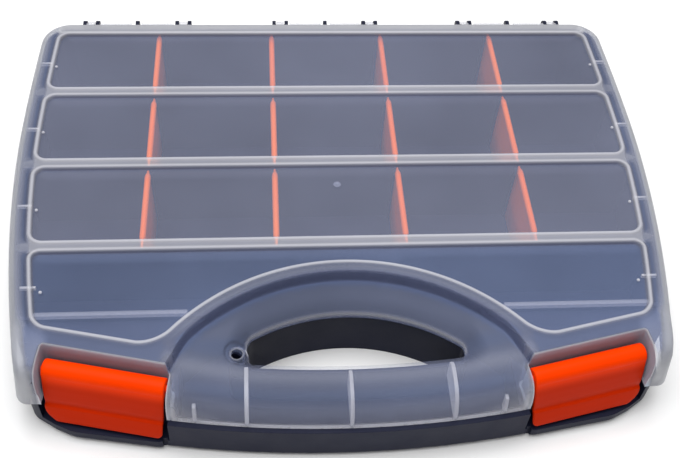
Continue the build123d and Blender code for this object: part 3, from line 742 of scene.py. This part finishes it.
def join(parts):
    pts, faces, at = [], [], 0
    for p, f in parts:
        pts.append(np.asarray(p, float))
        faces += [tuple(i + at for i in t) for t in f]
        at += len(p)
    return np.concatenate(pts), faces


def fix_normals(ob):
    bm = bmesh.new()
    bm.from_mesh(ob.data)
    bmesh.ops.recalc_face_normals(bm, faces=bm.faces)
    bm.to_mesh(ob.data)
    bm.free()
    return ob


def latch_points():
    a0, a1 = math.radians(-2.3), math.radians(307.6)
    c = [(ROLL_R * math.cos(a), ROLL_R * math.sin(a)) for a in np.linspace(a0, a1, 44)]
    low = [(3.6, -4.6), (5.2, -8.6), (6.2, -13.0), (6.7, -17.0), (7.0, -20.6), (8.2, -21.9), (9.3, -23.9), (10.4, -27.0), (11.5, -31.5), (12.1, -32.0), (13.0, -31.9), (13.5, -31.2), (13.35, -30.2),
           (12.6, -27.0), (11.3, -22.9), (10.75, -21.2), (10.35, -20.55), (9.75, -20.3), (9.35, -19.95), (9.1, -19.3), (9.02, -17.8), (8.9, -15.6), (8.5, -13.0), (7.5, -8.0), (6.4, -4.0)]
    fine = []
    pts = [c[-1]] + low + [c[0]]
    for i in range(len(pts) - 1):
        p, q = np.array(pts[i]), np.array(pts[i + 1])
        m = max(1, int(np.linalg.norm(q - p) / 1.1))
        for k in range(m):
            fine.append(tuple(p + (q - p) * k / m))
    full = np.array(c[:-1] + fine)
    return chaikin(full, 1)


def build_latch(sign, name):
    prof = latch_points()
    h = LATCH_HALF

    def right(p):
        z = p[:, 1]
        a = np.full(len(z), h)
        b = h - (-25.0 - z) * 7.0 / 7.5
        e = smin(a, b, 3.0)
        # rounded tip at the bottom
        return e - drop(z + 32.1, 1.6) * 0.9

    def left(p):
        z = p[:, 1]
        a = -h + 1.2 * np.clip((-6 - z) / 26.5, 0, 1)
        return a + drop(z + 32.1, 4.2)

    pts, faces = sweep(prof, left, right, 0.9, 26)
    parts = [(pts, faces)]
    ang = np.linspace(0, 2 * math.pi, 25)[:-1]
    pin = np.stack([1.7 * np.cos(ang), 1.7 * np.sin(ang)], 1)
    parts.append(sweep(pin, lambda p: np.full(len(p), -h - 0.8), lambda p: np.full(len(p), -h + 2.0), 0.3, 2))
    parts.append(sweep(pin, lambda p: np.full(len(p), h - 2.0), lambda p: np.full(len(p), h + 1.4), 0.3, 2))
    hook = [(8.9, -24.7), (10.6, -25.3), (11.0, -26.4), (11.0, -27.3), (10.2, -27.4), (8.5, -27.05), (8.05, -26.4), (8.15, -25.6)]
    parts.append(sweep(chaikin(np.array(hook), 1), lambda p: np.full(len(p), -20.0), lambda p: np.full(len(p), 20.0), 0.3, 3))
    # two thickened ribs behind the face
    for u in (-24.5, 26.0):
        rib = [(6.0, -11.0), (8.0, -14.0), (8.4, -19.0), (9.6, -22.0), (10.8, -26.0), (9.9, -25.2), (8.2, -22.6), (6.1, -21.0), (5.4, -16.0)]
        parts.append(sweep(chaikin(np.array(rib), 1), lambda p, u=u: np.full(len(p), u - 0.7), lambda p, u=u: np.full(len(p), u + 0.7), 0.2, 1))
    P, F = join(parts)
    u, v, z = P[:, 0], P[:, 1], P[:, 2]
    x = LATCH[0] + u * UX + v * VX
    y = LATCH[1] + u * UY + v * VY
    Q = np.stack([x * sign, y, LATCH_Z + z], 1)
    ob = mesh_object(name, Q, F, merge=1e-6)
    fix_normals(ob)
    return smooth(ob, 32)


def build_divider(x, ymid, name):
    half = 60.4 / 2
    y0, y1 = ymid - half + 4.6, ymid + half - 1.4
    ys = [ymid - half, ymid - half + 0.15, ymid - half + 0.5]
    ys += list(np.linspace(ymid - half + 2.0, y0 - 0.6, 4))
    ys += list(np.linspace(y0, y0 + 4.2, 7)) + list(np.linspace(y0 + 8, y1 - 8, 6)) + list(np.linspace(y1 - 4.2, y1, 7))
    ys += [y1 + 0.6, ymid + half - 0.5, ymid + half - 0.15, ymid + half]
    rows = []
    for y in ys:
        k = float(min(ramp01(y0 - 0.4, y0 + 4.0, y), ramp01(y1 + 0.4, y1 - 4.0, y))) if y0 - 0.4 < y < y1 + 0.4 else 0.0
        e = min(y - (ymid - half), (ymid + half) - y)
        cut = float(drop(np.array(e), 0.5))
        w = 0.8 + 1.1 * k - cut
        t = 0.8 - cut
        zt = 50.05 + 1.1 * k - cut
        zb = 2.45 + cut
        ring_ = [(-t + 0.25, zb), (-t, zb + 0.3), (-t * 1.0, 26.0), (-t, 46.9), (-(t + (w - t) * 0.35), 47.35), (-(t + (w - t) * 0.85), 47.95), (-w, 48.7)]
        m = 9
        for i in range(m):
            a = math.pi - math.pi * (i + 0.5) / m
            ring_.append((w * math.cos(a) * 1.0, 48.9 + (zt - 48.9) * math.sin(a) ** 0.9))
        ring_ += [(w, 48.7), (t + (w - t) * 0.85, 47.95), (t + (w - t) * 0.35, 47.35), (t, 46.9), (t, 26.0), (t, zb + 0.3), (t - 0.25, zb)]
        rows.append([(x + a, y, b) for a, b in ring_])
    n = len(rows[0])
    P = np.array([q for r in rows for q in r])
    F = []
    for j in range(len(rows) - 1):
        for i in range(n):
            a, b = j * n + i, j * n + (i + 1) % n
            F.append((a, a + n, b + n, b))
    F.append(tuple(range(n)))
    F.append(tuple(range((len(rows) - 1) * n, len(rows) * n))[::-1])
    ob = mesh_object(name, P, F, merge=1e-7)
    fix_normals(ob)
    return smooth(ob, 40)


def yz_plate(poly, x, thick, r=0.2, inner=1):
    """A plate of the outline poly (y, z), across x."""
    pts, faces = sweep(np.array(poly, float), lambda p: np.full(len(p), x - thick / 2), lambda p: np.full(len(p), x + thick / 2), r, inner)
    return pts, faces


def build_ribs():
    parts = []
    for x, w, y1, zc in ((-55.7, 2.2, -123.9, 99), (0.0, 2.0, -127.0, 99), (55.7, 2.2, -122.8, 99), (-83.2, 1.8, -142.6, 38.0), (83.2, 1.8, -142.6, 38.0)):
        y0 = LIP_Y + LIP_R - math.sqrt(LIP_R ** 2 - x * x)
        ys = y0 + (y1 - y0) * np.array([0.0, 0.01, 0.025, 0.05, 0.08, 0.12, 0.16, 0.2, 0.25, 0.3, 0.36, 0.42, 0.5, 0.6, 0.7, 0.8, 0.9, 1.0])
        zl = 26.5
        zt = top_face(np.full_like(ys, x), ys) - 0.8
        ok = zt > zl + 0.3
        ys, zt = ys[ok] + 0.35, np.minimum(zt[ok], zc)
        poly = [(a, b) for a, b in zip(ys, zt)] + [(ys[-1], zl), (ys[0], zl)]
        parts.append(yz_plate(poly, x, w, 0.25, 2))
    return join(parts)


def build_front_ribs():
    parts = []
    for s_ in (-1, 1):
        half = float(-side(np.array([0.0]), np.array([-94.6]))[0])
        bar = np.array([(-96.4, 51.35), (-92.6, 51.35), (-93.2, 53.4), (-95.8, 53.4)])
        pts, faces = sweep(bar, lambda p: np.full(len(p), 87.0), lambda p: np.full(len(p), half - 8.0), 0.3, 8)
        parts.append((pts * np.array([s_, 1, 1]), faces))
    return join(parts)


def build_clips():
    parts = []
    for xc in HINGE_X:
        for dx in (-31.6, 31.6):
            pts = []
            for a in np.linspace(9.5, 74, 9):
                pts.append((HINGE_Y + 3.9 * math.cos(math.radians(a)), HINGE_Z + 3.9 * math.sin(math.radians(a))))
            pts += [(150.6, 51.3), (149.6, 51.9), (149.1, 52.6), (148.2, 53.0), (146.4, 53.2), (146.2, 52.4), (146.2, 49.4), (146.9, 48.9), (147.6, 48.6)]
            for a in np.linspace(155, 256.3, 14):
                pts.append((HINGE_Y + 3.9 * math.cos(math.radians(a)), HINGE_Z + 3.9 * math.sin(math.radians(a))))
            for a in np.linspace(256.3, 9.5, 26):
                pts.append((HINGE_Y + 2.08 * math.cos(math.radians(a)), HINGE_Z + 2.08 * math.sin(math.radians(a))))
            parts.append(yz_plate(pts, xc + dx, 5.4, 0.35, 3))
        for s_ in (-1, 1):
            bar = [(145.9, 49.9), (148.0, 49.9), (148.4, 50.3), (148.4, 52.6), (147.9, 53.3), (146.9, 53.6), (145.9, 53.6)]
            parts.append(yz_plate(bar, xc + s_ * 14.2, 22.0, 0.5, 6))
    return join(parts)


def dome(cx, cy, z, r, hgt, n=20):
    pts, faces = [], []
    rows = [(1.0, 0.0), (0.96, 0.35), (0.84, 0.66), (0.62, 0.87), (0.33, 0.97)]
    for k, t in rows:
        for i in range(n):
            a = 2 * math.pi * i / n
            pts.append((cx + r * k * math.cos(a), cy + r * k * math.sin(a), z + hgt * t))
    pts.append((cx, cy, z + hgt))
    for j in range(len(rows) - 1):
        for i in range(n):
            a, b = j * n + i, j * n + (i + 1) % n
            faces.append((a, b, b + n, a + n))
    top = (len(rows) - 1) * n
    for i in range(n):
        faces.append((top + i, top + (i + 1) % n, len(pts) - 1))
    faces.append(tuple(range(n))[::-1])
    return np.array(pts), faces


def build_marks():
    """Small moulded marks: locating nubs in the windows and gussets across the border."""
    parts = []
    for y in (103.3, 42.4, -21.0, -79.9):
        for s_ in (-1, 1):
            half = float(-side(np.array([0.0]), np.array([y]))[0])
            xin = half - WIN_INSET - 2.3
            parts.append(dome(s_ * xin, y, Z_WIN - 0.05, 1.0, 0.9, 16))
            g0, g1 = half - 11.0, half - 2.4
            yy = y + 3.4
            bar = [(yy - 0.7, 51.5), (yy + 0.7, 51.5), (yy + 0.7, 53.6), (yy - 0.7, 53.6)]
            pts, faces = sweep(np.array(bar), lambda p: np.full(len(p), g0), lambda p: np.full(len(p), g1), 0.15, 2)
            pts = pts * np.array([s_, 1, 1])
            parts.append((pts, faces))
    return join(parts)


def build_gate():
    """Where the plastic was let into the mould: a flat disc with a small nub."""
    return join([dome(GATE[0], GATE[1], Z_WIN - 0.05, 2.3, 0.3, 24), dome(GATE[0], GATE[1], Z_WIN + 0.2, 0.7, 0.5, 16)])


GATE = (-0.6, -3.8)
# ------------------------------------------------------------------ materials
def new_mat(name):
    m = bpy.data.materials.new(name)
    m.use_nodes = True
    nt = m.node_tree
    for nd in list(nt.nodes):
        nt.nodes.remove(nd)
    out = nt.nodes.new("ShaderNodeOutputMaterial")
    b = nt.nodes.new("ShaderNodeBsdfPrincipled")
    nt.links.new(b.outputs[0], out.inputs[0])
    return m, nt, b


def add(nt, kind, **kw):
    nd = nt.nodes.new(kind)
    for k, v in kw.items():
        if k in nd.inputs:
            nd.inputs[k].default_value = v
        else:
            setattr(nd, k, v)
    return nd


def noise(nt, co, scale, detail=3.0, rough=0.5):
    t = add(nt, "ShaderNodeTexNoise")
    t.inputs["Scale"].default_value = scale
    t.inputs["Detail"].default_value = detail
    t.inputs["Roughness"].default_value = rough
    nt.links.new(co, t.inputs["Vector"])
    return t


def map_range(nt, src, a, b, c, d):
    m = add(nt, "ShaderNodeMapRange")
    for i, v in enumerate((a, b, c, d)):
        m.inputs[i + 1].default_value = v
    nt.links.new(src, m.inputs[0])
    return m


def moulded(name, col, col2, rough, rough_var, coat, bump_mm, bump_scale, wave_mm=0.0, bevel=0.0, spec=0.25, low=None):
    m, nt, b = new_mat(name)
    tc = add(nt, "ShaderNodeTexCoord")
    co = tc.outputs["Object"]
    big = noise(nt, co, 14.0, 3.0)
    fine = noise(nt, co, bump_scale, 2.0, 0.6)
    mix = add(nt, "ShaderNodeMix", data_type="RGBA")
    mix.inputs[6].default_value = (*col, 1)
    mix.inputs[7].default_value = (*col2, 1)
    f = map_range(nt, big.outputs[0], 0.35, 0.65, 0.0, 1.0)
    nt.links.new(f.outputs[0], mix.inputs[0])
    if low:
        # painted shade: the lower face is mixed towards a deeper orange, darker towards the bottom, standing in for the
        # weaker light it gets from the front
        sep = add(nt, "ShaderNodeSeparateXYZ")
        nt.links.new(co, sep.inputs[0])
        h = map_range(nt, sep.outputs[2], low[3], low[4], 0.0, 1.0)
        h.interpolation_type = "SMOOTHSTEP"
        m2 = add(nt, "ShaderNodeMix", data_type="RGBA")
        m2.inputs[7].default_value = (*low[:3], 1)
        nt.links.new(h.outputs[0], m2.inputs[0])
        nt.links.new(mix.outputs[2], m2.inputs[6])
        nt.links.new(m2.outputs[2], b.inputs["Base Color"])
    else:
        nt.links.new(mix.outputs[2], b.inputs["Base Color"])
    r = map_range(nt, noise(nt, co, 60.0, 4.0, 0.6).outputs[0], 0.3, 0.7, rough - rough_var, rough + rough_var)
    nt.links.new(r.outputs[0], b.inputs["Roughness"])
    b.inputs["Coat Weight"].default_value = coat
    b.inputs["Coat Roughness"].default_value = 0.12
    b.inputs["IOR"].default_value = 1.49
    b.inputs["Specular IOR Level"].default_value = spec
    bump = add(nt, "ShaderNodeBump")
    bump.inputs["Strength"].default_value = 1.0
    bump.inputs["Distance"].default_value = bump_mm * MM
    nt.links.new(fine.outputs[0], bump.inputs["Height"])
    last = bump
    if wave_mm:
        w = noise(nt, co, 28.0, 1.0)
        b2 = add(nt, "ShaderNodeBump")
        b2.inputs["Distance"].default_value = wave_mm * MM
        nt.links.new(w.outputs[0], b2.inputs["Height"])
        nt.links.new(bump.outputs[0], b2.inputs["Normal"])
        last = b2
    if bevel:
        bv = add(nt, "ShaderNodeBevel")
        bv.samples = 4
        bv.inputs["Radius"].default_value = bevel * MM
        nt.links.new(bv.outputs[0], bump.inputs["Normal"])
    nt.links.new(last.outputs[0], b.inputs["Normal"])
    return m


def lid_material():
    m, nt, b = new_mat("lid_plastic")
    tc = add(nt, "ShaderNodeTexCoord")
    co = tc.outputs["Object"]
    at = add(nt, "ShaderNodeAttribute", attribute_name="milk")
    big = noise(nt, co, 9.0, 3.0)
    mix = add(nt, "ShaderNodeMix", data_type="RGBA")
    clear = add(nt, "ShaderNodeMix", data_type="RGBA")
    clear.inputs[6].default_value = (0.39, 0.50, 0.86, 1)
    clear.inputs[7].default_value = (0.43, 0.47, 0.67, 1)
    cf = map_range(nt, at.outputs["Fac"], 0.015, 0.065, 0.0, 1.0)
    nt.links.new(cf.outputs[0], clear.inputs[0])
    nt.links.new(clear.outputs[2], mix.inputs[6])
    mix.inputs[7].default_value = (0.69, 0.69, 0.75, 1)
    tone = map_range(nt, at.outputs["Fac"], 0.06, 0.45, 0.0, 1.0)
    nt.links.new(tone.outputs[0], mix.inputs[0])
    du = add(nt, "ShaderNodeAttribute", attribute_name="dusk")
    ik = add(nt, "ShaderNodeAttribute", attribute_name="edge_tint_and_shade")
    m2 = add(nt, "ShaderNodeMix", data_type="RGBA")
    m2.inputs[7].default_value = (0.33, 0.34, 0.37, 1)
    d2 = map_range(nt, du.outputs["Fac"], 0.0, 1.0, 0.0, 0.85)
    nt.links.new(d2.outputs[0], m2.inputs[0])
    nt.links.new(mix.outputs[2], m2.inputs[6])
    # dark navy mixed in on the steep walls: partly the plastic's deeper colour seen edge-on, partly painted shade
    m3 = add(nt, "ShaderNodeMix", data_type="RGBA")
    m3.inputs[7].default_value = (0.075, 0.085, 0.20, 1)
    nt.links.new(ik.outputs["Fac"], m3.inputs[0])
    nt.links.new(m2.outputs[2], m3.inputs[6])
    # the recess walls stay grey beside the orange latch
    cl = add(nt, "ShaderNodeAttribute", attribute_name="cool")
    m4 = add(nt, "ShaderNodeMix", data_type="RGBA")
    m4.inputs[7].default_value = (0.54, 0.66, 0.84, 1)
    nt.links.new(cl.outputs["Fac"], m4.inputs[0])
    nt.links.new(m3.outputs[2], m4.inputs[6])
    nt.links.new(m4.outputs[2], b.inputs["Base Color"])
    # alpha: clear windows, milky edges, slightly uneven all over
    al = map_range(nt, at.outputs["Fac"], 0.0, 1.0, 0.105, 0.72)
    va = map_range(nt, big.outputs[0], 0.3, 0.7, -0.02, 0.02)
    ad = add(nt, "ShaderNodeMath", operation="ADD")
    nt.links.new(al.outputs[0], ad.inputs[0])
    nt.links.new(va.outputs[0], ad.inputs[1])
    a2 = add(nt, "ShaderNodeMath", operation="MULTIPLY_ADD")
    a2.inputs[1].default_value = 0.34
    nt.links.new(du.outputs["Fac"], a2.inputs[0])
    nt.links.new(ad.outputs[0], a2.inputs[2])
    a3 = add(nt, "ShaderNodeMath", operation="MULTIPLY_ADD")
    a3.inputs[1].default_value = 0.42
    nt.links.new(ik.outputs["Fac"], a3.inputs[0])
    nt.links.new(a2.outputs[0], a3.inputs[2])
    a3.use_clamp = True
    nt.links.new(a3.outputs[0], b.inputs["Alpha"])
    r = map_range(nt, noise(nt, co, 55.0, 4.0, 0.6).outputs[0], 0.3, 0.7, 0.30, 0.38)
    nt.links.new(r.outputs[0], b.inputs["Roughness"])
    b.inputs["Specular IOR Level"].default_value = 0.30
    b.inputs["Coat Weight"].default_value = 0.0
    fine = noise(nt, co, 420.0, 2.0, 0.6)
    bump = add(nt, "ShaderNodeBump")
    bump.inputs["Distance"].default_value = 0.004 * MM
    nt.links.new(fine.outputs[0], bump.inputs["Height"])
    wave = noise(nt, co, 22.0, 1.0)
    b2 = add(nt, "ShaderNodeBump")
    b2.inputs["Distance"].default_value = 0.30 * MM
    nt.links.new(wave.outputs[0], b2.inputs["Height"])
    nt.links.new(bump.outputs[0], b2.inputs["Normal"])
    nt.links.new(b2.outputs[0], b.inputs["Normal"])
    return m


mat_lid = lid_material()
# the low colour and heights paint shade on the latch's lower face
mat_orange = moulded("orange_plastic", (0.96, 0.050, 0.0), (0.92, 0.043, 0.0), 0.34, 0.05, 0.0, 0.02, 500.0, 0.10, spec=0.035, low=(0.54, 0.022, 0.0, 0.0445, 0.0360))
mat_div = moulded("divider_plastic", (1.0, 0.205, 0.004), (0.99, 0.18, 0.004), 0.40, 0.05, 0.0, 0.03, 500.0, 0.1, spec=0.15)
mat_base = moulded("navy_plastic", (0.010, 0.012, 0.030), (0.013, 0.0155, 0.035), 0.46, 0.06, 0.0, 0.05, 700.0, 0.1, bevel=0.5, spec=0.11)


def paint(ob, mat):
    ob.data.materials.clear()
    ob.data.materials.append(mat)


def repaint(node, mat):
    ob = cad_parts[node]
    if not ob.data.materials:
        ob.data.materials.append(mat)
    for i in range(len(ob.material_slots)):
        ob.material_slots[i].material = mat
    return ob


paint(lid, mat_lid)
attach(lid, "lid")
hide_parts("lid")
repaint("base_tray", mat_base)

for nm, (Pq, Fq), mk in (("lid_grip_ribs", build_ribs(), 0.62), ("lid_hinge_clips", build_clips(), 0.45), ("lid_moulded_marks", build_marks(), 0.7), ("lid_gate_mark", build_gate(), 0.12), ("lid_front_ribs", build_front_ribs(), 0.22)):
    ob = mesh_object(nm, Pq, Fq, {"milk": np.full(len(Pq), mk)}, merge=1e-7)
    fix_normals(ob)
    smooth(ob, 40)
    paint(ob, mat_lid)
    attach(ob, "lid")

for sign, nm in ((1, "latch_right"), (-1, "latch_left")):
    ob = build_latch(sign, nm + "_body")
    paint(ob, mat_orange)
    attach(ob, nm)
    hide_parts(nm)

for r_, (ya, yb) in enumerate(((78.45, 142.1), (15.4, 76.45), (-48.35, 13.4))):
    for c_, x_ in enumerate(DIV_X):
        node = "divider_r%d_c%d" % (r_ + 1, c_ + 1)
        ob = build_divider(x_, (ya + yb) / 2, node + "_plate")
        paint(ob, mat_div)
        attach(ob, "tray")
        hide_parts(node)


# ------------------------------------------------------------------ floor, light, camera
def floor_material():
    m, nt, b = new_mat("floor")
    tc = add(nt, "ShaderNodeTexCoord")
    n = noise(nt, tc.outputs["Object"], 3.0, 2.0)
    mix = add(nt, "ShaderNodeMix", data_type="RGBA")
    mix.inputs[6].default_value = (0.93, 0.93, 0.935, 1)
    mix.inputs[7].default_value = (0.95, 0.95, 0.95, 1)
    nt.links.new(n.outputs[0], mix.inputs[0])
    nt.links.new(mix.outputs[2], b.inputs["Base Color"])
    b.inputs["Roughness"].default_value = 0.7
    b.inputs["Specular IOR Level"].default_value = 0.2
    return m


bm = bmesh.new()
bmesh.ops.create_grid(bm, x_segments=8, y_segments=8, size=6.0)
me = bpy.data.meshes.new("floor")
bm.to_mesh(me)
bm.free()
floor = bpy.data.objects.new("floor", me)
bpy.context.scene.collection.objects.link(floor)
floor.location = (0, 0, -0.0002)
paint(floor, floor_material())

world = bpy.data.worlds.new("studio")
bpy.context.scene.world = world
world.use_nodes = True
wt = world.node_tree
bg = wt.nodes["Background"]
# a soft studio: bright overhead and behind, dim low down in front
tc = wt.nodes.new("ShaderNodeTexCoord")
sep = wt.nodes.new("ShaderNodeSeparateXYZ")
wt.links.new(tc.outputs["Generated"], sep.inputs[0])
up_ = wt.nodes.new("ShaderNodeMapRange")
for i_, v_ in enumerate((0.15, 0.9, 0.03, 0.74)):
    up_.inputs[i_ + 1].default_value = v_
wt.links.new(sep.outputs[2], up_.inputs[0])
fr_ = wt.nodes.new("ShaderNodeMapRange")
for i_, v_ in enumerate((-0.4, 0.7, 0.0, 0.26)):
    fr_.inputs[i_ + 1].default_value = v_
wt.links.new(sep.outputs[1], fr_.inputs[0])
sm_ = wt.nodes.new("ShaderNodeMath")
sm_.operation = "ADD"
wt.links.new(up_.outputs[0], sm_.inputs[0])
wt.links.new(fr_.outputs[0], sm_.inputs[1])
wt.links.new(sm_.outputs[0], bg.inputs[1])
bg.inputs[0].default_value = (1.0, 1.0, 1.0, 1)


def lamp(name, loc, target, size, power, size_y=None, colour=(1, 1, 1)):
    d = bpy.data.lights.new(name, "AREA")
    d.shape = "RECTANGLE"
    d.size = size
    d.size_y = size_y or size
    d.energy = power
    d.color = colour
    o = bpy.data.objects.new(name, d)
    bpy.context.scene.collection.objects.link(o)
    o.location = loc
    o.rotation_euler = (Vector(target) - Vector(loc)).to_track_quat("-Z", "Y").to_euler()
    return o


lamp("key", (-0.12, 0.06, 1.5), (0, 0, 0), 1.5, 21.0, 1.2)

cam_data = bpy.data.cameras.new("camera")
cam_data.sensor_width = 36.0
cam_data.sensor_fit = "HORIZONTAL"
cam_data.lens = 981.358 * 36.0 / 680.0
cam_data.clip_start = 0.01
cam_data.clip_end = 50
cam = bpy.data.objects.new("camera", cam_data)
bpy.context.scene.collection.objects.link(cam)
rows = ((0.9970401, -0.0601680, 0.0478626), (-0.0164175, -0.7747966, -0.6319973), (0.0751097, 0.6293409, -0.7734911))
right = Vector(rows[0]).normalized()
back = -Vector(rows[2]).normalized()
up = back.cross(right).normalized()
m = Matrix((right, up, back)).transposed().to_4x4()
m.translation = Vector((-0.04392, -0.39901, 0.49606))
cam.matrix_world = m
bpy.context.scene.camera = cam

bpy.context.scene.view_settings.view_transform = "Standard"
